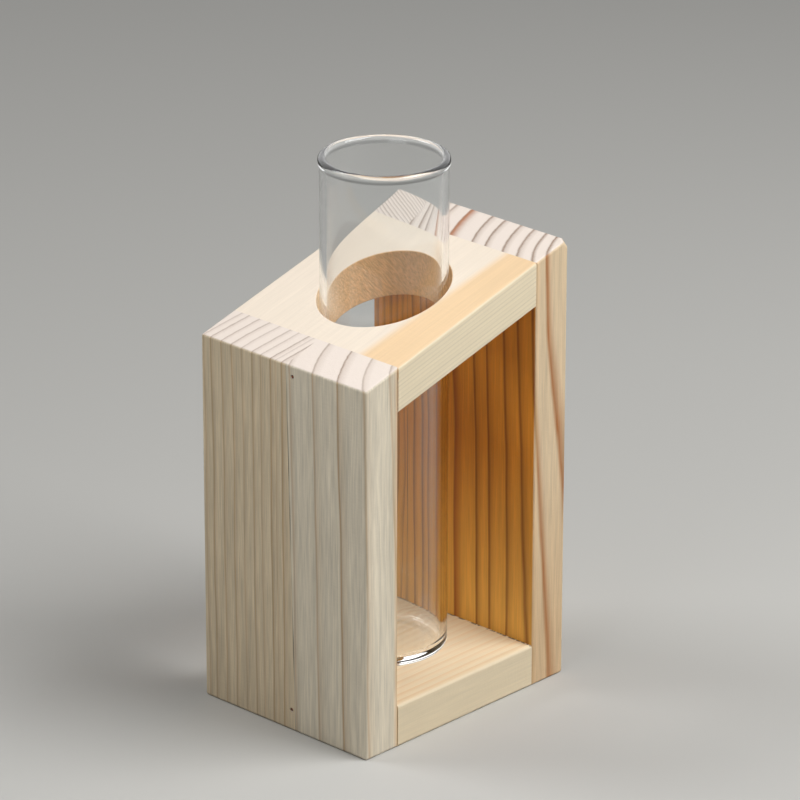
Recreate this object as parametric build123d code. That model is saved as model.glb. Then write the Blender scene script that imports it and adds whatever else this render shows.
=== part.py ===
from build123d import *
import os
from math import atan, cos

# Test tube vase: a slanted pine stand that holds one flat-bottomed glass tube.
# Millimetres. X runs from the low side board to the high one, Y from front to back, Z up.
# The origin is the middle of the stand's underside.

# Stand
stand_width = 67.8
stand_depth = 52.8
left_height = 91.7
right_height = 110.5
left_board_thickness = 10.7
right_board_thickness = 11.0
top_board_thickness = 10.7
base_board_thickness = 10.5
edge_round = 0.7
sanded_corner = 2.4

# Glue lines of the two side boards, measured back from the front face
left_seam_at_top = 25.2
left_seam_at_base = 22.8
right_seam_at_top = 39.5
right_seam_at_base = 39.5

# Glass tube
tube_diameter = 30.0
tube_wall = 1.6
tube_length = 122.8
tube_floor = 2.0
heel_radius = 2.6
floor_corner_radius = 2.2
rim_bead_stand_out = 0.35
rim_bead_height = 2.0

# Hole for the tube, through the top board, placed from the middle of the stand's opening
tube_hole_clearance = 0.7
tube_hole_off_middle_x = -0.35
tube_hole_off_middle_y = -0.2
hole_edge_round = 0.3

# Brads, driven through the side boards into the ends of the top and base boards.
# The reach is how much of the wood between a side board and the tube's hole a brad goes through.
brad_diameter = 1.0
brad_reach_share = 0.657
brad_set_depth = 0.3
top_brad_from_front = 23.2
base_brad_from_front = 24.1

# Room for cuts to run past the wood
overrun = 5.0

# Places worked out from the sizes above
left_face = -stand_width / 2
right_face = stand_width / 2
front_face = -stand_depth / 2
back_face = stand_depth / 2
left_inner_face = left_face + left_board_thickness
right_inner_face = right_face - right_board_thickness
slope_share = (right_height - left_height) / stand_width
top_board_drop = top_board_thickness / cos(atan(slope_share))
tube_radius = tube_diameter / 2
tube_hole_radius = tube_radius + tube_hole_clearance
tube_axis_x = (left_inner_face + right_inner_face) / 2 + tube_hole_off_middle_x
tube_axis_y = tube_hole_off_middle_y
wood_beside_hole = tube_axis_x - tube_hole_radius - left_inner_face
brad_length = left_board_thickness - brad_set_depth + brad_reach_share * wood_beside_hole


def top_surface(x):
    """Height of the slanted top surface at x."""
    return left_height + slope_share * (x - left_face)


def board(outline_points):
    """A board from its outline seen from the front, as deep as the stand."""
    outline = make_face(Polyline(*outline_points, close=True))
    return extrude(Plane.XZ * outline, amount=stand_depth / 2, both=True)


def brad_line(from_front, height, from_face, inwards, length):
    """A straight round bar of the brad's diameter, driven inwards from a side face."""
    start = Vector(from_face, front_face + from_front, height)
    bar = Solid.make_cylinder(brad_diameter / 2, length, Plane(origin=start, z_dir=(inwards, 0, 0)))
    return Part() + bar


def brad_places():
    """Where each brad goes: distance from the front, height, side face and direction inwards."""
    base_height = base_board_thickness / 2
    left_top_height = top_surface(left_inner_face) - top_board_drop / 2
    right_top_height = top_surface(right_inner_face) - top_board_drop / 2
    return [
        (top_brad_from_front, left_top_height, left_face, 1),
        (base_brad_from_front, base_height, left_face, 1),
        (top_brad_from_front, right_top_height, right_face, -1),
        (base_brad_from_front, base_height, right_face, -1),
    ]


def brad_holes():
    """The holes that the brads make, open at the side faces."""
    holes = Part()
    for from_front, height, face, inwards in brad_places():
        holes += brad_line(from_front, height, face, inwards, brad_set_depth + brad_length)
    return holes


def brads():
    """Four headless brads, each set a little below the side face."""
    pins = []
    for from_front, height, face, inwards in brad_places():
        head = face + inwards * brad_set_depth
        pins.append(brad_line(from_front, height, head, inwards, brad_length).solid())
    return Compound(children=pins)


def side_board(outer_face, inner_face):
    """A side board, sawn flush with the slanted top."""
    return board([
        (outer_face, 0),
        (inner_face, 0),
        (inner_face, top_surface(inner_face)),
        (outer_face, top_surface(outer_face)),
    ])


def corner_sanded_off(whole):
    """The high side board without its top outer front corner."""
    corner = Vector(right_face, front_face, right_height)
    slope = Plane(origin=corner - Vector(sanded_corner, 0, 0), z_dir=(1, -1, 1))
    return split(whole, bisect_by=slope, keep=Keep.BOTTOM)


def eased(whole, inner_face):
    """A side board with its edges eased, apart from those that meet the top and base boards."""
    inner_ends = whole.edges().filter_by(Axis.Y).filter_by_position(Axis.X, inner_face, inner_face)
    return fillet(whole.edges() - inner_ends, edge_round)


def front_of_seam(seam_at_top, seam_at_base, height):
    """Everything in front of a glue line that may lean from base to top."""
    lean_share = (seam_at_top - seam_at_base) / height
    low, high = -overrun, height + overrun
    outline = make_face(Polyline(
        (front_face - overrun, low),
        (front_face + seam_at_base + lean_share * low, low),
        (front_face + seam_at_base + lean_share * high, high),
        (front_face - overrun, high),
        close=True,
    ))
    return extrude(Plane.YZ * outline, amount=stand_width / 2 + overrun, both=True)


def staves(whole_board, seam_at_top, seam_at_base, height):
    """The front and rear staves of a side board, with their brad holes."""
    drilled = whole_board - brad_holes()
    front_region = front_of_seam(seam_at_top, seam_at_base, height)
    return drilled & front_region, drilled - front_region


def tube_hole():
    """The round upright hole for the tube, through the slanted top board."""
    height = right_height + overrun
    return Pos(tube_axis_x, tube_axis_y, height / 2) * Cylinder(tube_hole_radius, height)


def top_board():
    """The slanted top board, nailed between the side boards, with the hole for the tube."""
    whole = board([
        (left_inner_face, top_surface(left_inner_face) - top_board_drop),
        (right_inner_face, top_surface(right_inner_face) - top_board_drop),
        (right_inner_face, top_surface(right_inner_face)),
        (left_inner_face, top_surface(left_inner_face)),
    ])
    butt_ends = whole.faces().sort_by(Axis.X)
    end_edges = butt_ends[0].edges() + butt_ends[-1].edges()
    bored = fillet(whole.edges() - end_edges, edge_round) - tube_hole()
    rims = bored.edges().filter_by(GeomType.ELLIPSE).group_by(SortBy.LENGTH)[-1]
    return fillet(rims, hole_edge_round) - brad_holes()


def base_board():
    """The level base board that the tube stands on."""
    whole = board([
        (left_inner_face, 0),
        (right_inner_face, 0),
        (right_inner_face, base_board_thickness),
        (left_inner_face, base_board_thickness),
    ])
    return fillet(whole.edges().filter_by(Axis.X), edge_round) - brad_holes()


def glass_tube():
    """A drawn glass tube with a flat floor, a rounded heel and a fire-polished rim bead."""
    bore_radius = tube_radius - tube_wall
    bead_radius = tube_radius + rim_bead_stand_out
    lip_radius = (bead_radius - bore_radius) / 2
    bead_start = tube_length - rim_bead_height
    lip_start = tube_length - lip_radius
    bead_full = bead_start + (lip_start - bead_start) / 2
    underside = Line((0, 0), (tube_radius - heel_radius, 0))
    heel = RadiusArc(underside @ 1, (tube_radius, heel_radius), -heel_radius)
    outside = Line(heel @ 1, (tube_radius, bead_start))
    bead_swell = Line(outside @ 1, (bead_radius, bead_full))
    bead_side = Line(bead_swell @ 1, (bead_radius, lip_start))
    lip = ThreePointArc(bead_side @ 1, (bead_radius - lip_radius, tube_length), (bore_radius, lip_start))
    inside = Line(lip @ 1, (bore_radius, tube_floor + floor_corner_radius))
    corner = RadiusArc(inside @ 1, (bore_radius - floor_corner_radius, tube_floor), floor_corner_radius)
    floor = Line(corner @ 1, (0, tube_floor))
    axis_line = Line(floor @ 1, (0, 0))
    section = make_face(Curve() + [
        underside, heel, outside, bead_swell, bead_side, lip, inside, corner, floor, axis_line,
    ])
    upright = revolve(Plane.XZ * section, Axis.Z)
    return Pos(tube_axis_x, tube_axis_y, base_board_thickness) * upright


def build():
    """Every node of the vase, by name."""
    low_side = eased(side_board(left_face, left_inner_face), left_inner_face)
    high_side = eased(corner_sanded_off(side_board(right_face, right_inner_face)), right_inner_face)
    left_front, left_rear = staves(low_side, left_seam_at_top, left_seam_at_base, left_height)
    right_front, right_rear = staves(high_side, right_seam_at_top, right_seam_at_base, right_height)
    return {
        "left_front_stave": left_front,
        "left_rear_stave": left_rear,
        "right_front_stave": right_front,
        "right_rear_stave": right_rear,
        "top_board": top_board(),
        "base_board": base_board(),
        "brads": brads(),
        "glass_tube": glass_tube(),
    }


os.makedirs("parts", exist_ok=True)
for node, shape in build().items():
    export_step(shape, f"parts/{node}.step")
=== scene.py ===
from math import cos, pi, radians, sin

import bmesh
import bpy
from bpy.props import FloatProperty, FloatVectorProperty, IntProperty, PointerProperty
from mathutils import Matrix, Vector


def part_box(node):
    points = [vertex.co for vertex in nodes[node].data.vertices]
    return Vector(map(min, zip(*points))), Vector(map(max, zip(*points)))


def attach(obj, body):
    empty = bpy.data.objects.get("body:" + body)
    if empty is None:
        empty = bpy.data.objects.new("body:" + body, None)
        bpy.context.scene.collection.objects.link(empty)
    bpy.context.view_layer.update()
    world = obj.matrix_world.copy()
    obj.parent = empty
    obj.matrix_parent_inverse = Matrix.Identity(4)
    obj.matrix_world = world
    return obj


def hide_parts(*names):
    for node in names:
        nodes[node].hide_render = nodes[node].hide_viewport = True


bl_info = {
    "name": "Test tube vase",
    "version": (1, 0, 0),
    "blender": (4, 5, 0),
    "location": "3D View > Sidebar > Vase",
    "description": "Dresses a slanted pine stand and its glass test tube",
    "category": "Object",
}

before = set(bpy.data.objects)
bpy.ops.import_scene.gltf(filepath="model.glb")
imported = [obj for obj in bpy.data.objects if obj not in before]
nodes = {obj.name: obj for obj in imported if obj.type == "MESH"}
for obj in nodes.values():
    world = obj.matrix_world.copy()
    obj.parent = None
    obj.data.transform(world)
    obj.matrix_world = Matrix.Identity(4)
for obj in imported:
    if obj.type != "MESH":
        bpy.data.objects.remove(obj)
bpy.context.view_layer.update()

MM = 0.001

# The kinds of node that come up most
MATH, VECTOR_MATH = "ShaderNodeMath", "ShaderNodeVectorMath"
RANGE, MIX, NOISE = "ShaderNodeMapRange", "ShaderNodeMix", "ShaderNodeTexNoise"
SPLIT, COORDINATES = "ShaderNodeSeparateXYZ", "ShaderNodeTexCoord"

# Places on the stand, in millimetres, read from the frame
low_board_near, low_board_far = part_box("left_front_stave")[0] / MM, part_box("left_rear_stave")[1] / MM
high_board_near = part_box("right_front_stave")[0] / MM
front_face = low_board_near.y
left_inner_face, right_inner_face = low_board_far.x, high_board_near.x
tube_low, tube_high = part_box("glass_tube")
tube_axis = (tube_low + tube_high) / 2 / MM

# How the grain of each board rises from the horizontal, in degrees
UPRIGHT_GRAIN = 90.0
TOP_BOARD_GRAIN = 15.5
LEVEL_GRAIN = 0.0

# Where the slanted top surface lies once the grain is turned upright, from its height at the low
# side board's inner face
TOP_SURFACE = (
    left_inner_face * sin(radians(TOP_BOARD_GRAIN)) - low_board_far.z * cos(radians(TOP_BOARD_GRAIN))
)

# Late wood darkens slowly to a share of its darkness and ends in a thin dark core, in millimetres
LOW_FRONT_CORE, LOW_REAR_CORE, HIGH_CORE, RED_CORE = 0.6, 0.5, 0.8, 1.6
RING_SHADE = 0.3
RING_MARGIN, RINGS_A_RAMP = 4.0, 7

# Growth rings seen in the end grain. The pith is given across the grain, at the stand's underside,
# and leans by so many millimetres a millimetre up. Each ring: distance from the pith, width of its
# darkening late wood, and how dark that ends.
LOW_FRONT_PITH, LOW_FRONT_LEAN = (-12.8, -47.1), (0.0, 0.022)
LOW_FRONT_RINGS = (
    (23.0, 1.6, 0.6), (28.9, 2.0, 0.6), (35.0, 2.4, 0.9), (41.6, 2.4, 0.7), (48.0, 1.6, 0.6),
)
LOW_REAR_PITH, LOW_REAR_LEAN = (-65.1, -184.4), (0.0, 0.006)
LOW_REAR_RINGS = (
    (187.0, 2.0, 0.85), (188.9, 1.0, 0.4), (190.5, 1.4, 0.8), (193.6, 1.4, 0.5), (196.3, 1.4, 0.65),
    (199.6, 1.4, 0.5), (202.8, 1.5, 0.7), (206.0, 1.4, 0.65), (209.3, 1.4, 0.7), (211.6, 1.2, 0.5),
)
HIGH_FRONT_PITH, HIGH_FRONT_LEAN = (38.6, -50.6), (0.0, 0.045)
HIGH_FRONT_RINGS = (
    (23.1, 1.2, 1.0), (26.4, 1.2, 1.0), (30.2, 2.0, 0.95), (34.2, 2.0, 1.0), (39.2, 2.0, 1.0),
    (43.0, 2.0, 1.0), (49.5, 3.4, 0.9), (54.4, 1.8, 0.85), (57.0, 1.8, 0.95), (60.3, 1.8, 0.95),
    (63.7, 1.6, 0.85),
)
HIGH_RED_RINGS, RED_SHARE = ((49.4, 2.4, 1.0),), 0.75

# Fine, nearly even rings: how far apart, how much of a ring is late wood, and how dark that ends
HIGH_REAR_PITH, HIGH_REAR_LEAN, HIGH_REAR_RING_SPACING = (-153.0, 100.5), (0.0, 0.0), 0.95
TOP_PITH, TOP_LEAN, TOP_RING_SPACING = (230.0, -210.0), (0.0, 0.0), 0.9
BASE_PITH, BASE_LEAN, BASE_RING_SPACING = (-5.25, -629.1), (0.0, 0.0), 2.4
HIGH_REAR_LATE, HIGH_REAR_DARK = 0.6, 0.7
TOP_LATE, TOP_DARK = 0.5, 0.28
BASE_LATE, BASE_DARK = 0.7, 0.6
PALEST_RING = 0.45

# The high board's rings lean only above this height, away from the front face, and turn to that
# between two depths behind it, in millimetres
STRAIGHT_BELOW = 60.0
FRONT_SKIN, FRONT_SKIN_END = 0.5, 6.0

# Glue lines of the side boards: distance back from the front face at the base, and lean a millimetre up.
# A line is dark up to one share of its width from its middle, and gone past the other.
LOW_SEAM, HIGH_SEAM = (22.8, 0.0262), (39.5, 0.0)
SEAM_CORE, SEAM_EDGE = 0.25, 0.75

# Sizes of the wood's unevenness in millimetres, across the grain and along it. A saw mark lies across
# the grain, and its spacing is among the looks below.
SLOW_WANDER, FINE_WANDER = (20.0, 50.0), (1.4, 12.0)
FIBRE_BUNDLES = (1.3, 28.0)
SAW_MARK_LENGTH = 2.2
GLUE_GAPS = (30.0, 16.0)
RAGGED_SIZE = (0.9, 0.9)
TORN_TUFTS = (0.4, 1.8)
FIBRE_DETAIL, TUFT_DETAIL = 4.0, 3.0

# How high the wood's relief stands, in millimetres
FIBRE_RELIEF, RING_RELIEF, SAW_RELIEF, TORN_RELIEF = 0.08, 0.03, 0.05, 0.3

# Noise keeps near 0.5. Each mark runs between two of its values, and the shares after them say how
# dark or how light the mark is there.
BREAK_START, BREAK_END, BREAK_LEAVES = 0.3, 0.7, 0.75
FIBRE_START, FIBRE_END, FIBRE_LIGHT = 0.25, 0.75, 0.7
BUNDLE_START, BUNDLE_END, BUNDLE_DARK, BUNDLE_LIGHT = 0.3, 0.7, 0.7, 0.4
GLUE_START, GLUE_END, GLUE_CLOSED, GLUE_OPEN = 0.4, 0.62, 0.15, 0.75
RAGGED_START, RAGGED_END, RAGGED_OPEN = 0.42, 0.55, 0.85
TUFT_START, TUFT_END, TUFT_DARK, TUFT_LIGHT = 0.35, 0.65, 0.82, 1.12
RUST_START, RUST_END = 0.4, 0.6

# Bare pine's refraction, and how far its roughness sways with the fibres
WOOD_IOR, ROUGHNESS_SWAY = 1.5, 0.08

# A face counts as square to an axis between these shares of its normal
FACE_START, FACE_END = 0.55, 0.85

# How far the painted warm shade of a side board's inner face and inner edges reaches, in millimetres,
# and how strong the edges' painted shade is
INNER_FACE_CORE, INNER_FACE_REACH = 0.05, 0.25
INNER_EDGE_CORE, INNER_EDGE_REACH, INNER_EDGE_SHARE = 0.4, 1.8, 0.8

# Heights in millimetres between which the high side board changes towards its foot, where painted light
# makes its inner face paler, and how much resin its front edge has there
FOOT_TINT_LOW, FOOT_TINT_HIGH, FOOT_RESIN_SHARE = 15.0, 58.0, 0.3

# The top board's resin-rich layer fades out between two distances behind the front face. It ends
# nearer the front by so much for each millimetre of depth, and for each towards the high side.
LAYER_START, LAYER_END = 8.8, 12.2
LAYER_DIP, LAYER_SKEW = 4.0, 0.055

# Share of the rings' darkness left on the sanded top surface, and the depths between which they
# come back
SANDED_DARK, SANDED_START, SANDED_DEPTH = 0.12, 0.1, 0.6

# The bored hole, in millimetres: between which distances from its axis the wood stops being its wall,
# where its brown deepens along the stand as painted shade on its far wall, which way its far wall faces,
# and how far the torn tufts fall to the right, in degrees
BORED_RADIUS, BORED_EDGE = 15.75, 15.95
BROWN_START, BROWN_END, BROWN_PALE, BROWN_DEEP = -13.0, 5.0, 0.2, 0.9
BORED_WALL, TUFT_FALL = (0.73, 0.69, 0.0), 45

# How far the dark of the ragged joint between the base board and the high side reaches, in millimetres
JOINT_CORE, JOINT_REACH = 0.2, 0.75

# How the tube's mesh is made: millimetres of straight wall beside each curve, steps of the foot's
# dome and of an arc, and how near in metres two points are one
STRETCH, DOME_STEPS, ARC_STEPS = 0.2, 8, 10
WELD = 1e-6

# Refraction of laboratory glass
GLASS_IOR = 1.47

# Brads: size of a rust spot in millimetres and how fine its edge is, how metallic the rust leaves
# the steel, and how rough drawn steel is
RUST_SPOT, RUST_DETAIL, RUST_METAL, STEEL_ROUGHNESS = 0.4, 3.0, 0.1, 0.5

# The studio, in metres: what the lamps face, and where each stands and how wide it is
LIT_POINT = (0, 0, 0.06)
KEY_PLACE, KEY_WIDTH = (0.22, -0.43, 0.70), 0.5
REAR_PLACE, REAR_WIDTH = (-0.45, 0.75, 1.05), 0.5
FILL_PLACE, FILL_WIDTH = (-0.16, -0.05, 0.20), 0.1

# How rough the paper is, how bright the sky is at the horizon beside overhead, and how far up, from
# none at the horizon to one straight overhead, it reaches its full brightness
PAPER_ROUGHNESS = 0.9
HORIZON_SHARE, OVERHEAD = 0.35, 0.7

# The camera that the photograph was fitted to: millimetres and degrees, then its sensor's width in
# millimetres and how near and far it sees in metres
CAMERA_PLACE = (-813.77, -776.53, 526.69)
CAMERA_AZIMUTH, CAMERA_ELEVATION, CAMERA_ROLL = -46.52, 21.98, 0.10
SENSOR_WIDTH, NEAREST, FARTHEST = 36, 0.05, 60


def linear(hex_colour):
    """An sRGB hex colour as linear red, green and blue."""
    shares = [int(hex_colour[i:i + 2], 16) / 255 for i in (0, 2, 4)]
    return tuple(s / 12.92 if s <= 0.04045 else ((s + 0.055) / 1.055) ** 2.4 for s in shares)


def colour(name, description, hex_colour):
    """A colour that the user can change, with its default."""
    return FloatVectorProperty(
        name=name, description=description, subtype="COLOR", size=3, min=0, max=1,
        default=linear(hex_colour),
    )


def size(name, description, millimetres):
    """A length that the user can change, with its default."""
    return FloatProperty(
        name=name, description=description, unit="LENGTH", min=0, default=millimetres * MM, precision=5,
    )


class VASE_PG_pine(bpy.types.PropertyGroup):
    low_front_wood: colour("Low front wood", "Early wood of the low side's front stave", "E9DEC8")
    low_rear_wood: colour("Low rear wood", "Early wood of the low side's rear stave", "E4D2B3")
    high_wood: colour("High wood", "Early wood of the high side board", "E9D0AC")
    # Painted light: the end grain, which faces up on top, is painted whiter for the light from above
    end_wood_and_painted_light: colour("End wood, painted light", "Early wood where the grain ends", "EFE2D7")
    end_late_wood: colour("End late wood", "Growth lines where the grain ends", "8A6C56")
    top_wood: colour("Top wood", "Early wood of the top board", "F4E6D4")
    base_wood: colour("Base wood", "Early wood of the base board", "EFDEBE")
    base_late_wood: colour("Base late wood", "End of a growth ring in the base board", "E4C08E")
    late_wood: colour("Late wood", "End of a growth ring", "B28850")
    resinous_late_wood: colour("Resinous late wood", "End of a growth ring in the high side board", "AC641E")
    red_late_wood: colour("Red late wood", "One resin-red growth ring of the high side board", "B0601C")
    # Painted shade: the low side's inner face, shaded in the gap, is painted a milder warm amber
    honey_painted_shade: colour("Honey wood, painted shade", "Early wood of the low side's inner face", "E4B474")
    # Painted shade: the high side's inner face lies in shade in the gap and is painted amber for the warm
    # light bounced there
    amber_painted_shade: colour("Amber wood, painted shade", "Early wood of the high side's inner face", "E4962C")
    # Painted light: the shaded amber inner face is painted paler towards the base board, which lights it from
    # below
    pale_amber_painted_light: colour("Pale amber wood, painted light", "Early wood low on the high side's inner face", "F4BD59")
    resin_wood: colour("Resin wood", "Early wood at the foot of the high side's front edge", "E0AE70")
    # Painted shade: the growth lines of the high side's shaded inner face, painted deep amber
    amber_late_painted_shade: colour("Amber late wood, painted shade", "Growth lines of the high side's inner face", "803C00")
    # The top board's resin-rich band, and also painted warm shade along the side boards' inner edges
    peach_wood_and_painted_shade: colour("Peach wood and painted shade", "Resin-rich band along the top board's front", "F2D2A8")
    straw_wood: colour("Straw wood", "Early wood of the top board's front and rear faces", "F6E7C8")
    grey_late_wood: colour("Grey late wood", "Growth lines of the top board's front and rear faces", "A2947E")
    bored_wood: colour("Bored wood", "Torn end grain in the tube's hole", "E0AE74")
    seam_shadow: colour("Seam", "Dark line where two pieces of wood meet", "4A3219")
    # Pine's fibres are about 0.03 mm wide, too fine for a picture of the whole vase, so one streak is
    # as wide as a dozen of them. The saw marks too are drawn coarser than real ones, so that they show.
    fibre_width: size("Fibre width", "Width of one streak of fibres", 0.35)
    fibre_length: size("Fibre length", "Length of one streak of fibres", 9.0)
    saw_mark_spacing: size("Saw mark spacing", "Distance between sanded-down saw marks", 0.55)
    ring_wander: size("Ring wander", "How far a ring strays from its circle", 0.3)
    seam_width: size("Seam width", "Width of the dark line at a glued joint", 0.28)
    roughness: FloatProperty(name="Roughness", description="Sanded, left bare", min=0, max=1, default=0.62)


class VASE_PG_glass(bpy.types.PropertyGroup):
    wall: size("Wall", "Thickness of the tube's wall", 1.6)
    floor: size("Floor", "Thickness of the tube's floor", 2.0)
    heel_radius: size("Heel radius", "Rounding of the tube's foot", 2.6)
    floor_corner_radius: size("Floor corner radius", "Rounding where the bore meets the floor", 2.2)
    foot_hollow: size("Foot hollow", "How far the middle of the foot stands off the wood", 0.25)
    bead_stand_out: size("Bead stand-out", "How far the fire-polished rim stands out", 0.35)
    bead_height: size("Bead height", "Height of the fire-polished rim", 2.0)
    tint: colour("Tint", "Colour of the clear glass", "FCFDFD")
    segments: IntProperty(name="Segments", description="Flats round the tube", min=24, default=192)


class VASE_PG_steel(bpy.types.PropertyGroup):
    wire: colour("Wire", "Dull drawn steel of the brads", "6B5C52")
    rust: colour("Rust", "Brown bloom on the brads' cut ends", "9C5638")


class VASE_PG_studio(bpy.types.PropertyGroup):
    floor_colour: colour("Floor", "Plain pale floor", "C2C1BD")
    floor_width: FloatProperty(
        name="Floor width", description="Width of the floor", unit="LENGTH", min=1, default=16.0,
    )
    key_power: FloatProperty(
        name="Key power", description="Soft light above the front", unit="POWER", min=0, default=6.4,
    )
    rear_power: FloatProperty(
        name="Rear power", description="Soft light high behind the low side", unit="POWER", min=0,
        default=5.4,
    )
    fill_power: FloatProperty(
        name="Fill power", description="Weak light close above the low side", unit="POWER", min=0,
        default=0.075,
    )
    sky_strength: FloatProperty(
        name="Sky strength", description="Even light from all round", min=0, default=0.05,
    )
    card_share: FloatProperty(
        name="Cards", description="How bright the white cards are beside the sky", min=0, default=35.0,
    )
    lens: FloatProperty(name="Lens", description="Focal length of the camera, in mm", min=1, default=234.1)


def add_node(tree, kind, sockets=None, **settings):
    """Adds a node, sets it up, and fills or links its inputs."""
    node = tree.nodes.new(kind)
    for name, value in settings.items():
        setattr(node, name, value)
    for socket, value in (sockets or {}).items():
        if isinstance(value, bpy.types.Node):
            value = value.outputs[0]
        if isinstance(value, bpy.types.NodeSocket):
            tree.links.new(value, node.inputs[socket])
        else:
            node.inputs[socket].default_value = value
    return node


def new_material(name):
    """An empty node material and its Principled shader."""
    material = bpy.data.materials.new(name)
    material.use_nodes = True
    tree = material.node_tree
    tree.nodes.clear()
    shader = add_node(tree, "ShaderNodeBsdfPrincipled")
    add_node(tree, "ShaderNodeOutputMaterial", {"Surface": shader})
    return material, tree, shader


def dress(node, material):
    """Gives a carried-over piece one material all over."""
    slots = nodes[node].data.materials
    slots.clear()
    slots.append(material)


def rgba(value):
    """A colour property with full alpha."""
    return (*value, 1.0)


def streaks(tree, place, across, along, detail=2.0, normalize=True):
    """Noise drawn out along the grain, from its sizes across and along in millimetres."""
    stretched = add_node(
        tree, VECTOR_MATH, {0: place, 1: (1 / across, 1 / across, 1 / along)}, operation="MULTIPLY",
    )
    return add_node(
        tree, NOISE, {"Vector": stretched, "Scale": 1.0, "Detail": detail}, normalize=normalize,
    )


def listed_rings(tree, distance, rings, core):
    """Darkness of the late wood of rings that are listed one by one."""
    low, high = rings[0][0] - RING_MARGIN, rings[-1][0] + RING_MARGIN
    across = add_node(tree, RANGE, {"Value": distance, "From Min": low, "From Max": high})
    total = None
    # A colour ramp holds up to 32 stops
    for first in range(0, len(rings), RINGS_A_RAMP):
        ramp = add_node(tree, "ShaderNodeValToRGB", {"Fac": across})
        elements = ramp.color_ramp.elements
        elements.remove(elements[1])
        elements[0].position, elements[0].color = 0, (0, 0, 0, 1)
        for radius, width, dark in rings[first:first + RINGS_A_RAMP]:
            stops = (
                (radius - width, 0), (radius - core, dark * RING_SHADE),
                (radius - core / 4, dark), (radius + core / 4, 0),
            )
            for at, share in stops:
                element = elements.new((at - low) / (high - low))
                element.color = (share, share, share, 1)
        total = ramp if total is None else add_node(tree, MATH, {0: total, 1: ramp}, operation="ADD")
    return total


def even_rings(tree, distance, spacing, late_share, dark):
    """Darkness of the late wood of fine rings, one about every spacing."""
    count = add_node(tree, MATH, {0: distance, 1: 1 / spacing}, operation="MULTIPLY")
    part = add_node(tree, MATH, {0: count}, operation="FRACT")
    whole = add_node(tree, MATH, {0: count}, operation="FLOOR")
    chance = add_node(tree, "ShaderNodeTexWhiteNoise", {"W": whole}, noise_dimensions="1D")
    own_dark = add_node(tree, RANGE, {"Value": chance, "To Min": dark * PALEST_RING, "To Max": dark})
    line = add_node(
        tree, RANGE, {"Value": part, "From Min": 1 - late_share, "From Max": 1.0},
        interpolation_type="SMOOTHSTEP",
    )
    return add_node(tree, MATH, {0: line, 1: own_dark}, operation="MULTIPLY")


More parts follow.
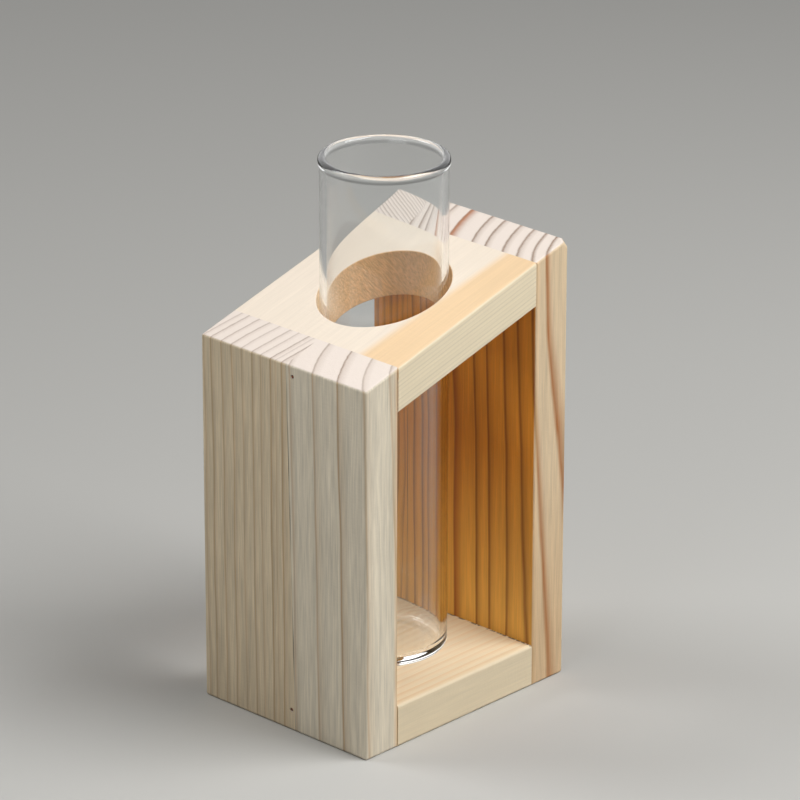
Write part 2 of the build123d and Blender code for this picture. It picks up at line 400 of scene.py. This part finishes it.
class Wood:
    """The parts of a sanded pine material, which its marks are added to."""

    # Pine that was sawn, sanded and left bare gives the eye pale early wood, a darker line where each
    # year's ring ends, fine streaks of fibres along the grain, and next to no gloss

    def __init__(self, name, looks, early, late, grain_rise, pith, lean, wander=1.0, contrast=0.17,
                 straight_below=None, relief=1.0):
        self.material, self.tree, self.shader = new_material(name)
        self.looks, self.contrast, self.relief = looks, contrast, relief
        tree = self.tree
        metres = add_node(tree, COORDINATES).outputs["Object"]
        self.place = add_node(tree, VECTOR_MATH, {0: metres, "Scale": 1 / MM}, operation="SCALE")
        self.xyz = add_node(tree, SPLIT, {0: self.place})
        normal = add_node(tree, "ShaderNodeNewGeometry").outputs["True Normal"]
        self.normal = add_node(tree, SPLIT, {0: normal})
        # Turned so that the grain runs along Z
        self.grain = add_node(
            tree, "ShaderNodeVectorRotate",
            {"Vector": self.place, "Angle": radians(grain_rise - UPRIGHT_GRAIN)},
            rotation_type="Y_AXIS",
        )
        up = add_node(tree, SPLIT, {0: self.grain}).outputs["Z"]
        if straight_below:
            # Away from the front face the pith leans only above a height
            bent = add_node(tree, MATH, {0: up, 1: straight_below}, operation="MAXIMUM")
            at_front = add_node(
                tree, RANGE,
                {
                    "Value": self.xyz.outputs["Y"], "From Min": front_face + FRONT_SKIN,
                    "From Max": front_face + FRONT_SKIN_END, "To Min": 1.0, "To Max": 0.0,
                },
                interpolation_type="SMOOTHSTEP",
            )
            up = add_node(tree, MIX, {"Factor": at_front, 2: bent, 3: up}, data_type="FLOAT")
        flat = add_node(tree, VECTOR_MATH, {0: self.grain, 1: (1, 1, 0)}, operation="MULTIPLY")
        level = add_node(
            tree, VECTOR_MATH, {0: up, 1: (-lean[0], -lean[1], 0), 2: flat}, operation="MULTIPLY_ADD",
        )
        from_pith = add_node(
            tree, VECTOR_MATH, {0: level, 1: (*pith, 0)}, operation="DISTANCE",
        ).outputs["Value"]
        # Rings stray slowly by twice their wander, and waver finely by a third of it on the way
        slow = streaks(tree, self.grain, *SLOW_WANDER, 1.0, False)
        fine = streaks(tree, self.grain, *FINE_WANDER, 1.0, False)
        stray = looks.ring_wander / MM * wander
        strayed = add_node(tree, MATH, {0: slow, 1: stray * 2, 2: from_pith}, operation="MULTIPLY_ADD")
        self.distance = add_node(
            tree, MATH, {0: fine, 1: stray / 3, 2: strayed}, operation="MULTIPLY_ADD",
        )
        self.fibres = streaks(
            tree, self.grain, looks.fibre_width / MM, looks.fibre_length / MM, FIBRE_DETAIL,
        )
        self.bundles = streaks(tree, self.grain, *FIBRE_BUNDLES)
        self.early, self.late = rgba(early), rgba(late)
        # Share of the fibres' shades that shows
        self.sides = 1.0

    def tint(self, share, early, late):
        """Other early and late wood where the share says."""
        self.early = add_node(
            self.tree, MIX, {"Factor": share, 6: self.early, 7: rgba(early)}, data_type="RGBA",
        ).outputs[2]
        self.late = add_node(
            self.tree, MIX, {"Factor": share, 6: self.late, 7: rgba(late)}, data_type="RGBA",
        ).outputs[2]

    def finish(self, dark, marks=(), torn=None):
        """Mixes the wood, darkens it with its marks, and gives it its surface."""
        tree, looks = self.tree, self.looks
        broken = add_node(
            tree, RANGE,
            {
                "Value": self.fibres, "From Min": BREAK_START, "From Max": BREAK_END,
                "To Min": BREAK_LEAVES,
            },
        )
        late_share = add_node(tree, MATH, {0: dark, 1: broken}, operation="MULTIPLY")
        body = add_node(
            tree, MIX, {"Factor": late_share, 6: self.early, 7: self.late}, data_type="RGBA",
        ).outputs[2]
        shade = add_node(
            tree, RANGE,
            {
                "Value": self.fibres, "From Min": FIBRE_START, "From Max": FIBRE_END,
                "To Min": 1.0 - self.contrast, "To Max": 1.0 + self.contrast * FIBRE_LIGHT,
            },
        )
        cloud = add_node(
            tree, RANGE,
            {
                "Value": self.bundles, "From Min": BUNDLE_START, "From Max": BUNDLE_END,
                "To Min": 1.0 - self.contrast * BUNDLE_DARK,
                "To Max": 1.0 + self.contrast * BUNDLE_LIGHT,
            },
        )
        shades = add_node(tree, MATH, {0: shade, 1: cloud}, operation="MULTIPLY")
        body = add_node(
            tree, MIX, {"Factor": self.sides, 6: body, 7: shades}, data_type="RGBA",
            blend_type="MULTIPLY",
        ).outputs[2]
        for share, mark in marks:
            body = add_node(
                tree, MIX, {"Factor": share, 6: body, 7: rgba(mark)}, data_type="RGBA",
            ).outputs[2]
        # Late wood stands proud of the sanded early wood, the fibres leave fine furrows, and worn
        # saw marks cross the grain
        saw = streaks(tree, self.grain, SAW_MARK_LENGTH, looks.saw_mark_spacing / MM, 1.0)
        ridges = add_node(tree, MATH, {0: late_share, 1: RING_RELIEF}, operation="MULTIPLY")
        height = add_node(
            tree, MATH, {0: self.fibres, 1: FIBRE_RELIEF, 2: ridges}, operation="MULTIPLY_ADD",
        )
        height = add_node(tree, MATH, {0: saw, 1: SAW_RELIEF, 2: height}, operation="MULTIPLY_ADD")
        if torn is not None:
            # The bit tears the fibres into tufts, which fall to the right on the wall that faces
            # the front
            leant = add_node(
                tree, "ShaderNodeVectorRotate",
                {"Vector": self.place, "Axis": BORED_WALL, "Angle": radians(TUFT_FALL)},
                rotation_type="AXIS_ANGLE",
            )
            tufts = streaks(tree, leant, *TORN_TUFTS, TUFT_DETAIL)
            deep = add_node(
                tree, RANGE,
                {
                    "Value": tufts, "From Min": TUFT_START, "From Max": TUFT_END,
                    "To Min": TUFT_DARK, "To Max": TUFT_LIGHT,
                },
            )
            tufted = add_node(
                tree, MIX, {"Factor": 1.0, 6: body, 7: deep}, data_type="RGBA", blend_type="MULTIPLY",
            ).outputs[2]
            body = add_node(
                tree, MIX, {"Factor": torn, 6: body, 7: tufted}, data_type="RGBA",
            ).outputs[2]
            in_hole = add_node(tree, MATH, {0: tufts, 1: torn}, operation="MULTIPLY")
            height = add_node(
                tree, MATH, {0: in_hole, 1: TORN_RELIEF, 2: height}, operation="MULTIPLY_ADD",
            )
        tree.links.new(body, self.shader.inputs["Base Color"])
        rough = add_node(
            tree, RANGE,
            {
                "Value": self.fibres, "To Min": looks.roughness - ROUGHNESS_SWAY,
                "To Max": looks.roughness + ROUGHNESS_SWAY,
            },
        )
        tree.links.new(rough.outputs[0], self.shader.inputs["Roughness"])
        bump = add_node(
            tree, "ShaderNodeBump", {"Height": height, "Distance": MM, "Strength": self.relief},
        )
        tree.links.new(bump.outputs[0], self.shader.inputs["Normal"])
        self.shader.inputs["IOR"].default_value = WOOD_IOR
        return self.material


def near_plane(wood, axis, at, core, reach):
    """One within a core distance of a plane square to an axis, and none past its reach."""
    off = add_node(wood.tree, MATH, {0: wood.xyz.outputs[axis], 1: at}, operation="SUBTRACT")
    distance = add_node(wood.tree, MATH, {0: off}, operation="ABSOLUTE")
    return add_node(
        wood.tree, RANGE,
        {"Value": distance, "From Min": core, "From Max": reach, "To Min": 1.0, "To Max": 0.0},
        interpolation_type="SMOOTHSTEP",
    )


def glue_line(wood, seam, width):
    """Darkness beside a side board's glue line, which opens and closes along its length."""
    start, lean = seam
    tree = wood.tree
    at = add_node(
        tree, MATH, {0: wood.xyz.outputs["Z"], 1: lean, 2: front_face + start},
        operation="MULTIPLY_ADD",
    )
    near = near_plane(wood, "Y", at, width * SEAM_CORE, width * SEAM_EDGE)
    gaps = streaks(tree, wood.grain, *GLUE_GAPS, 1.0)
    opened = add_node(
        tree, RANGE,
        {
            "Value": gaps, "From Min": GLUE_START, "From Max": GLUE_END,
            "To Min": GLUE_CLOSED, "To Max": GLUE_OPEN,
        },
    )
    shown = add_node(tree, MATH, {0: near, 1: opened}, operation="MULTIPLY")
    return add_node(tree, MATH, {0: shown, 1: wood.sides}, operation="MULTIPLY")


def faces_along(wood, axis):
    """One on the faces that are square to an axis, zero on the others."""
    part = add_node(wood.tree, MATH, {0: wood.normal.outputs[axis]}, operation="ABSOLUTE")
    return add_node(wood.tree, RANGE, {"Value": part, "From Min": FACE_START, "From Max": FACE_END})


def inner_face(wood, at):
    """The side board's face towards the tube."""
    near = near_plane(wood, "X", at, INNER_FACE_CORE, INNER_FACE_REACH)
    return add_node(wood.tree, MATH, {0: faces_along(wood, "X"), 1: near}, operation="MULTIPLY")


def inner_edge(wood, at):
    """The front and rear edges of a side board near its face towards the tube, where warm shade is painted.
    """
    near = near_plane(wood, "X", at, INNER_EDGE_CORE, INNER_EDGE_REACH)
    edge = add_node(wood.tree, MATH, {0: faces_along(wood, "Y"), 1: near}, operation="MULTIPLY")
    return add_node(wood.tree, MATH, {0: edge, 1: INNER_EDGE_SHARE}, operation="MULTIPLY")


def side_board_tints(wood, at, inner, inner_late):
    """The colours of a side board's ends, with painted light, and of its inner edges and inner face, with
    painted warm shade.
    """
    looks = wood.looks
    # Painted light: the end faces are painted whiter, as if lit from above
    ends = faces_along(wood, "Z")
    wood.tint(ends, looks.end_wood_and_painted_light, looks.end_late_wood)
    # Painted shade: the inner edges take the warm colour of the shaded inner face
    wood.tint(inner_edge(wood, at), looks.peach_wood_and_painted_shade, looks.late_wood)
    wood.tint(inner_face(wood, at), inner, inner_late)
    wood.sides = add_node(wood.tree, MATH, {0: 1.0, 1: ends}, operation="SUBTRACT")


class VASE_OT_low_side_board(bpy.types.Operator):
    """Sanded pine on the two staves of the low side board"""
    bl_idname = "vase.low_side_board"
    bl_label = "Low side board"

    def execute(self, context):
        looks = context.scene.vase_pine
        seam_width = looks.seam_width / MM
        for node, early, pith, lean, rings, core in (
            (
                "left_front_stave", looks.low_front_wood,
                LOW_FRONT_PITH, LOW_FRONT_LEAN, LOW_FRONT_RINGS, LOW_FRONT_CORE,
            ),
            (
                "left_rear_stave", looks.low_rear_wood,
                LOW_REAR_PITH, LOW_REAR_LEAN, LOW_REAR_RINGS, LOW_REAR_CORE,
            ),
        ):
            wood = Wood(f"Pine, sanded, {node}", looks, early, looks.late_wood, UPRIGHT_GRAIN, pith, lean)
            # Painted shade: the inner face and its edges are painted warm for the shade in the gap
            side_board_tints(wood, left_inner_face, looks.honey_painted_shade, looks.late_wood)
            dark = listed_rings(wood.tree, wood.distance, rings, core)
            marks = [(glue_line(wood, LOW_SEAM, seam_width), looks.seam_shadow)]
            dress(node, wood.finish(dark, marks))
        return {"FINISHED"}


class VASE_OT_high_side_board(bpy.types.Operator):
    """Sanded pine on the two staves of the high side board"""
    bl_idname = "vase.high_side_board"
    bl_label = "High side board"

    def execute(self, context):
        looks = context.scene.vase_pine
        seam_width = looks.seam_width / MM
        for node, pith, lean, rings in (
            ("right_front_stave", HIGH_FRONT_PITH, HIGH_FRONT_LEAN, HIGH_FRONT_RINGS),
            ("right_rear_stave", HIGH_REAR_PITH, HIGH_REAR_LEAN, None),
        ):
            wood = Wood(
                f"Pine, sanded, {node}", looks, looks.high_wood, looks.resinous_late_wood,
                UPRIGHT_GRAIN, pith, lean, contrast=0.12, straight_below=STRAIGHT_BELOW,
            )
            tree = wood.tree
            # Painted shade: the inner face is painted amber for the warm shade in the gap
            side_board_tints(wood, right_inner_face, looks.amber_painted_shade, looks.amber_late_painted_shade)
            # Both faces change towards the foot: the inner one has painted light, paler towards the base
            # board, and the front one is rich in resin
            low = add_node(
                tree, RANGE,
                {
                    "Value": wood.xyz.outputs["Z"], "From Min": FOOT_TINT_LOW,
                    "From Max": FOOT_TINT_HIGH, "To Min": 1.0, "To Max": 0.0,
                },
            )
            low_painted_light = add_node(
                tree, MATH, {0: low, 1: inner_face(wood, right_inner_face)}, operation="MULTIPLY",
            )
            wood.tint(low_painted_light, looks.pale_amber_painted_light, looks.amber_late_painted_shade)
            low_front = add_node(tree, MATH, {0: low, 1: faces_along(wood, "Y")}, operation="MULTIPLY")
            resin = add_node(tree, MATH, {0: low_front, 1: FOOT_RESIN_SHARE}, operation="MULTIPLY")
            wood.tint(resin, looks.resin_wood, looks.resinous_late_wood)
            marks = [(glue_line(wood, HIGH_SEAM, seam_width), looks.seam_shadow)]
            if rings:
                dark = listed_rings(tree, wood.distance, rings, HIGH_CORE)
                red = listed_rings(tree, wood.distance, HIGH_RED_RINGS, RED_CORE)
                red_share = add_node(tree, MATH, {0: red, 1: RED_SHARE}, operation="MULTIPLY")
                marks.insert(0, (red_share, looks.red_late_wood))
            else:
                dark = even_rings(
                    tree, wood.distance, HIGH_REAR_RING_SPACING, HIGH_REAR_LATE, HIGH_REAR_DARK,
                )
            dress(node, wood.finish(dark, marks))
        return {"FINISHED"}


class VASE_OT_top_board(bpy.types.Operator):
    """Sanded pine on the slanted top board, torn in its bored hole"""
    bl_idname = "vase.top_board"
    bl_label = "Top board"

    def execute(self, context):
        looks = context.scene.vase_pine
        wood = Wood(
            "Pine, sanded, top_board", looks, looks.top_wood, looks.late_wood,
            TOP_BOARD_GRAIN, TOP_PITH, TOP_LEAN, wander=0.4, contrast=0.04, relief=0.6,
        )
        tree = wood.tree
        # Depth below the slanted top surface, from the turned coordinates
        turned = add_node(tree, SPLIT, {0: wood.grain})
        depth = add_node(tree, MATH, {0: turned, 1: TOP_SURFACE}, operation="SUBTRACT")
        # On the top surface the resin-rich layer ends about 9 to 12 mm behind the front
        edge = add_node(
            tree, MATH, {0: depth, 1: LAYER_DIP, 2: wood.xyz.outputs["Y"]}, operation="MULTIPLY_ADD",
        )
        edge = add_node(
            tree, MATH, {0: wood.xyz.outputs["X"], 1: LAYER_SKEW, 2: edge}, operation="MULTIPLY_ADD",
        )
        peach = add_node(
            tree, RANGE,
            {
                "Value": edge, "From Min": front_face + LAYER_START,
                "From Max": front_face + LAYER_END, "To Min": 1.0, "To Max": 0.0,
            },
            interpolation_type="SMOOTHSTEP",
        )
        wood.tint(peach, looks.peach_wood_and_painted_shade, looks.late_wood)
        wood.tint(faces_along(wood, "Y"), looks.straw_wood, looks.grey_late_wood)
        dark = even_rings(tree, wood.distance, TOP_RING_SPACING, TOP_LATE, TOP_DARK)
        sanded = add_node(
            tree, RANGE,
            {
                "Value": depth, "From Min": SANDED_START, "From Max": SANDED_DEPTH,
                "To Min": SANDED_DARK,
            },
        )
        dark = add_node(tree, MATH, {0: dark, 1: sanded}, operation="MULTIPLY")
        level = add_node(tree, VECTOR_MATH, {0: wood.place, 1: (1, 1, 0)}, operation="MULTIPLY")
        from_axis = add_node(
            tree, VECTOR_MATH, {0: level, 1: (tube_axis.x, tube_axis.y, 0)}, operation="DISTANCE",
        ).outputs["Value"]
        bored = add_node(
            tree, RANGE,
            {
                "Value": from_axis, "From Min": BORED_RADIUS, "From Max": BORED_EDGE,
                "To Min": 1.0, "To Max": 0.0,
            },
            interpolation_type="SMOOTHSTEP",
        )
        # The torn end grain is brown, and painted shade deepens it towards the high side, where the far wall
        # lies out of the light; towards the low side it stays pale
        brown = add_node(
            tree, RANGE,
            {
                "Value": wood.xyz.outputs["X"], "From Min": BROWN_START, "From Max": BROWN_END,
                "To Min": BROWN_PALE, "To Max": BROWN_DEEP,
            },
        )
        torn_and_shaded = add_node(tree, MATH, {0: bored, 1: brown}, operation="MULTIPLY")
        dress("top_board", wood.finish(dark, [(torn_and_shaded, looks.bored_wood)], bored))
        return {"FINISHED"}


class VASE_OT_base_board(bpy.types.Operator):
    """Sanded pine on the level base board"""
    bl_idname = "vase.base_board"
    bl_label = "Base board"

    def execute(self, context):
        looks = context.scene.vase_pine
        wood = Wood(
            "Pine, sanded, base_board", looks, looks.base_wood, looks.base_late_wood,
            LEVEL_GRAIN, BASE_PITH, BASE_LEAN, wander=0.5, contrast=0.05, relief=0.35,
        )
        tree = wood.tree
        dark = even_rings(tree, wood.distance, BASE_RING_SPACING, BASE_LATE, BASE_DARK)
        # The saw left the board's end ragged, so the joint with the high side opens and closes
        near = near_plane(wood, "X", right_inner_face, JOINT_CORE, JOINT_REACH)
        near = add_node(tree, MATH, {0: near, 1: faces_along(wood, "Z")}, operation="MULTIPLY")
        ragged = streaks(tree, wood.place, *RAGGED_SIZE)
        opened = add_node(
            tree, RANGE,
            {
                "Value": ragged, "From Min": RAGGED_START, "From Max": RAGGED_END,
                "To Max": RAGGED_OPEN,
            },
        )
        shown = add_node(tree, MATH, {0: near, 1: opened}, operation="MULTIPLY")
        dress("base_board", wood.finish(dark, [(shown, looks.seam_shadow)]))
        return {"FINISHED"}


def arc(centre, radius, start, end):
    """Points of an arc in the tube's section, from one angle to another in degrees."""
    points = []
    for i in range(ARC_STEPS + 1):
        angle = radians(start + (end - start) * i / ARC_STEPS)
        points.append((centre[0] + radius * cos(angle), centre[1] + radius * sin(angle)))
    return points


class VASE_OT_glass_tube(bpy.types.Operator):
    """Drawn, flat-bottomed tube of clear glass with a fire-polished rim"""
    bl_idname = "vase.glass_tube"
    bl_label = "Glass tube"

    def execute(self, context):
        sizes = context.scene.vase_glass
        bead_radius = (tube_high.x - tube_low.x) / 2
        height = tube_high.z - tube_low.z
        radius = bead_radius - sizes.bead_stand_out
        bore = radius - sizes.wall
        lip = (bead_radius - bore) / 2
        heel, corner = sizes.heel_radius, sizes.floor_corner_radius
        bead_start, inner_corner = height - sizes.bead_height, sizes.floor + corner
        # Short stretches beside the curves keep their smooth shading off the straight walls
        end = STRETCH * MM
        # The foot is a very shallow dome, so that the tube stands on a ring
        ring, section = radius - heel - end, []
        for step in range(DOME_STEPS + 1):
            share = step / DOME_STEPS
            section.append((ring * share, sizes.foot_hollow * (1 - share ** 2)))
        section += arc((radius - heel, heel), heel, -90, 0)
        section += [(radius, heel + end), (radius, bead_start - end), (radius, bead_start)]
        section += [(bead_radius, height - sizes.bead_height / 2 - lip / 2)]
        section += arc((bead_radius - lip, height - lip), lip, 0, 180)
        section += [(bore, height - lip - end), (bore, inner_corner + end)]
        section += arc((bore - corner, inner_corner), corner, 0, -90)
        section += [(bore - corner - end, sizes.floor), (0, sizes.floor)]
        mesh = bmesh.new()
        line = [mesh.verts.new((x, 0, z)) for x, z in section]
        edges = [mesh.edges.new(pair) for pair in zip(line, line[1:])]
        bmesh.ops.spin(
            mesh, geom=line + edges, axis=(0, 0, 1), cent=(0, 0, 0), angle=2 * pi,
            steps=sizes.segments, use_merge=True,
        )
        bmesh.ops.remove_doubles(mesh, verts=mesh.verts, dist=WELD)
        bmesh.ops.recalc_face_normals(mesh, faces=mesh.faces)
        for face in mesh.faces:
            face.smooth = True
        data = bpy.data.meshes.new("drawn_glass_tube")
        mesh.to_mesh(data)
        mesh.free()
        tube = bpy.data.objects.new("drawn_glass_tube", data)
        context.scene.collection.objects.link(tube)
        tube.location = (tube_axis.x * MM, tube_axis.y * MM, tube_low.z)
        # Laboratory glass, drawn into a tube and fire-polished where it was cut, gives the eye a
        # flawless wall with dark and bright bands at its edges, and a round rim and heel that catch
        # the white of the studio
        material, _, shader = new_material("Clear glass, drawn and fire-polished")
        shader.inputs["Base Color"].default_value = rgba(sizes.tint)
        shader.inputs["Transmission Weight"].default_value = 1.0
        shader.inputs["IOR"].default_value = GLASS_IOR
        shader.inputs["Roughness"].default_value = 0.0
        data.materials.append(material)
        # Clear glass lets the light through to the wood behind it
        tube.visible_shadow = False
        tube.visible_diffuse = False
        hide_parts("glass_tube")
        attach(tube, "tube")
        return {"FINISHED"}


class VASE_OT_brads(bpy.types.Operator):
    """Cut steel wire, a little rusty, on the four brads"""
    bl_idname = "vase.brads"
    bl_label = "Brads"

    def execute(self, context):
        looks = context.scene.vase_steel
        # Drawn steel wire that was cut and left so gives the eye a small dull dot, partly brown with
        # rust. Real rust is finer, and its spots are drawn as coarse as a brad's end can show.
        material, tree, shader = new_material("Steel wire, drawn and cut")
        metres = add_node(tree, COORDINATES).outputs["Object"]
        bloom = add_node(
            tree, NOISE, {"Vector": metres, "Scale": 1 / (RUST_SPOT * MM), "Detail": RUST_DETAIL},
        )
        share = add_node(tree, RANGE, {"Value": bloom, "From Min": RUST_START, "From Max": RUST_END})
        body = add_node(
            tree, MIX, {"Factor": share, 6: rgba(looks.wire), 7: rgba(looks.rust)}, data_type="RGBA",
        ).outputs[2]
        tree.links.new(body, shader.inputs["Base Color"])
        metal = add_node(tree, RANGE, {"Value": share, "To Min": 1.0, "To Max": RUST_METAL})
        tree.links.new(metal.outputs[0], shader.inputs["Metallic"])
        shader.inputs["Roughness"].default_value = STEEL_ROUGHNESS
        dress("brads", material)
        return {"FINISHED"}


def softbox(context, name, place, width, power):
    """A square area light that faces the vase."""
    lamp = bpy.data.lights.new(name, "AREA")
    lamp.shape, lamp.size, lamp.energy = "SQUARE", width, power
    light = bpy.data.objects.new(name, lamp)
    light.location = place
    light.rotation_euler = (Vector(LIT_POINT) - Vector(place)).to_track_quat("-Z", "Y").to_euler()
    light.visible_camera = False
    context.scene.collection.objects.link(light)


class VASE_OT_studio(bpy.types.Operator):
    """Plain pale floor, soft light and the camera"""
    bl_idname = "vase.studio"
    bl_label = "Studio"

    def execute(self, context):
        scene, studio = context.scene, context.scene.vase_studio
        reach = studio.floor_width / 2
        data = bpy.data.meshes.new("floor")
        corners = [(-reach, -reach, 0), (reach, -reach, 0), (reach, reach, 0), (-reach, reach, 0)]
        data.from_pydata(corners, [], [(0, 1, 2, 3)])
        floor = bpy.data.objects.new("floor", data)
        scene.collection.objects.link(floor)
        # Uncoated paper off the roll gives the eye one pale tone, soft shadows and no shine
        material, _, shader = new_material("Matt seamless paper")
        shader.inputs["Base Color"].default_value = rgba(studio.floor_colour)
        shader.inputs["Roughness"].default_value = PAPER_ROUGHNESS
        data.materials.append(material)

        world = bpy.data.worlds.new("Soft studio")
        world.use_nodes = True
        scene.world = world
        sky = world.node_tree
        background = sky.nodes["Background"]
        background.inputs["Strength"].default_value = studio.sky_strength
        # Brighter overhead than at the horizon, so that the glass has dark edges
        around = add_node(sky, COORDINATES).outputs["Generated"]
        height = add_node(sky, SPLIT, {0: around}).outputs["Z"]
        share = add_node(
            sky, RANGE,
            {
                "Value": height, "From Min": 0.0, "From Max": OVERHEAD,
                "To Min": HORIZON_SHARE, "To Max": 1.0,
            },
        )
        # White cards round the set, which show in the clear glass alone and light nothing
        sharp = add_node(sky, "ShaderNodeLightPath").outputs["Is Singular Ray"]
        cards = add_node(
            sky, MATH, {0: sharp, 1: studio.card_share, 2: share}, operation="MULTIPLY_ADD",
        )
        sky.links.new(cards.outputs[0], background.inputs["Color"])

        softbox(context, "key", KEY_PLACE, KEY_WIDTH, studio.key_power)
        softbox(context, "rear", REAR_PLACE, REAR_WIDTH, studio.rear_power)
        softbox(context, "fill", FILL_PLACE, FILL_WIDTH, studio.fill_power)

        lens = bpy.data.cameras.new("camera")
        lens.lens, lens.sensor_width = studio.lens, SENSOR_WIDTH
        lens.clip_start, lens.clip_end = NEAREST, FARTHEST
        camera = bpy.data.objects.new("camera", lens)
        camera.matrix_world = (
            Matrix.Translation(Vector(CAMERA_PLACE) * MM)
            @ Matrix.Rotation(radians(CAMERA_AZIMUTH), 4, "Z")
            @ Matrix.Rotation(radians(90 - CAMERA_ELEVATION), 4, "X")
            @ Matrix.Rotation(radians(CAMERA_ROLL), 4, "Z")
        )
        scene.collection.objects.link(camera)
        scene.camera = camera
        scene.view_settings.view_transform = "Standard"
        return {"FINISHED"}


OPERATORS = (
    VASE_OT_low_side_board,
    VASE_OT_high_side_board,
    VASE_OT_top_board,
    VASE_OT_base_board,
    VASE_OT_glass_tube,
    VASE_OT_brads,
    VASE_OT_studio,
)

GROUPS = {
    "vase_pine": VASE_PG_pine,
    "vase_glass": VASE_PG_glass,
    "vase_steel": VASE_PG_steel,
    "vase_studio": VASE_PG_studio,
}


class VASE_PT_pieces(bpy.types.Panel):
    """Pieces of the test tube vase"""
    bl_idname = "VASE_PT_pieces"
    bl_label = "Test tube vase"
    bl_space_type = "VIEW_3D"
    bl_region_type = "UI"
    bl_category = "Vase"

    def draw(self, context):
        for operator in OPERATORS:
            self.layout.operator(operator.bl_idname)
        for group in GROUPS:
            looks = getattr(context.scene, group)
            for name in looks.bl_rna.properties.keys():
                if name not in ("rna_type", "name"):
                    self.layout.prop(looks, name)


def register():
    """Adds the operators, the panel and the looks that the user can change."""
    for kind in (*GROUPS.values(), *OPERATORS, VASE_PT_pieces):
        bpy.utils.register_class(kind)
    for name, kind in GROUPS.items():
        setattr(bpy.types.Scene, name, PointerProperty(type=kind))


def unregister():
    """Takes them away again."""
    for name in GROUPS:
        delattr(bpy.types.Scene, name)
    for kind in (VASE_PT_pieces, *reversed(OPERATORS), *GROUPS.values()):
        bpy.utils.unregister_class(kind)


def main():
    """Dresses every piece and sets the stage."""
    register()
    bpy.ops.vase.low_side_board()
    bpy.ops.vase.high_side_board()
    bpy.ops.vase.top_board()
    bpy.ops.vase.base_board()
    bpy.ops.vase.glass_tube()
    bpy.ops.vase.brads()
    bpy.ops.vase.studio()


if __name__ == "__main__":
    main()
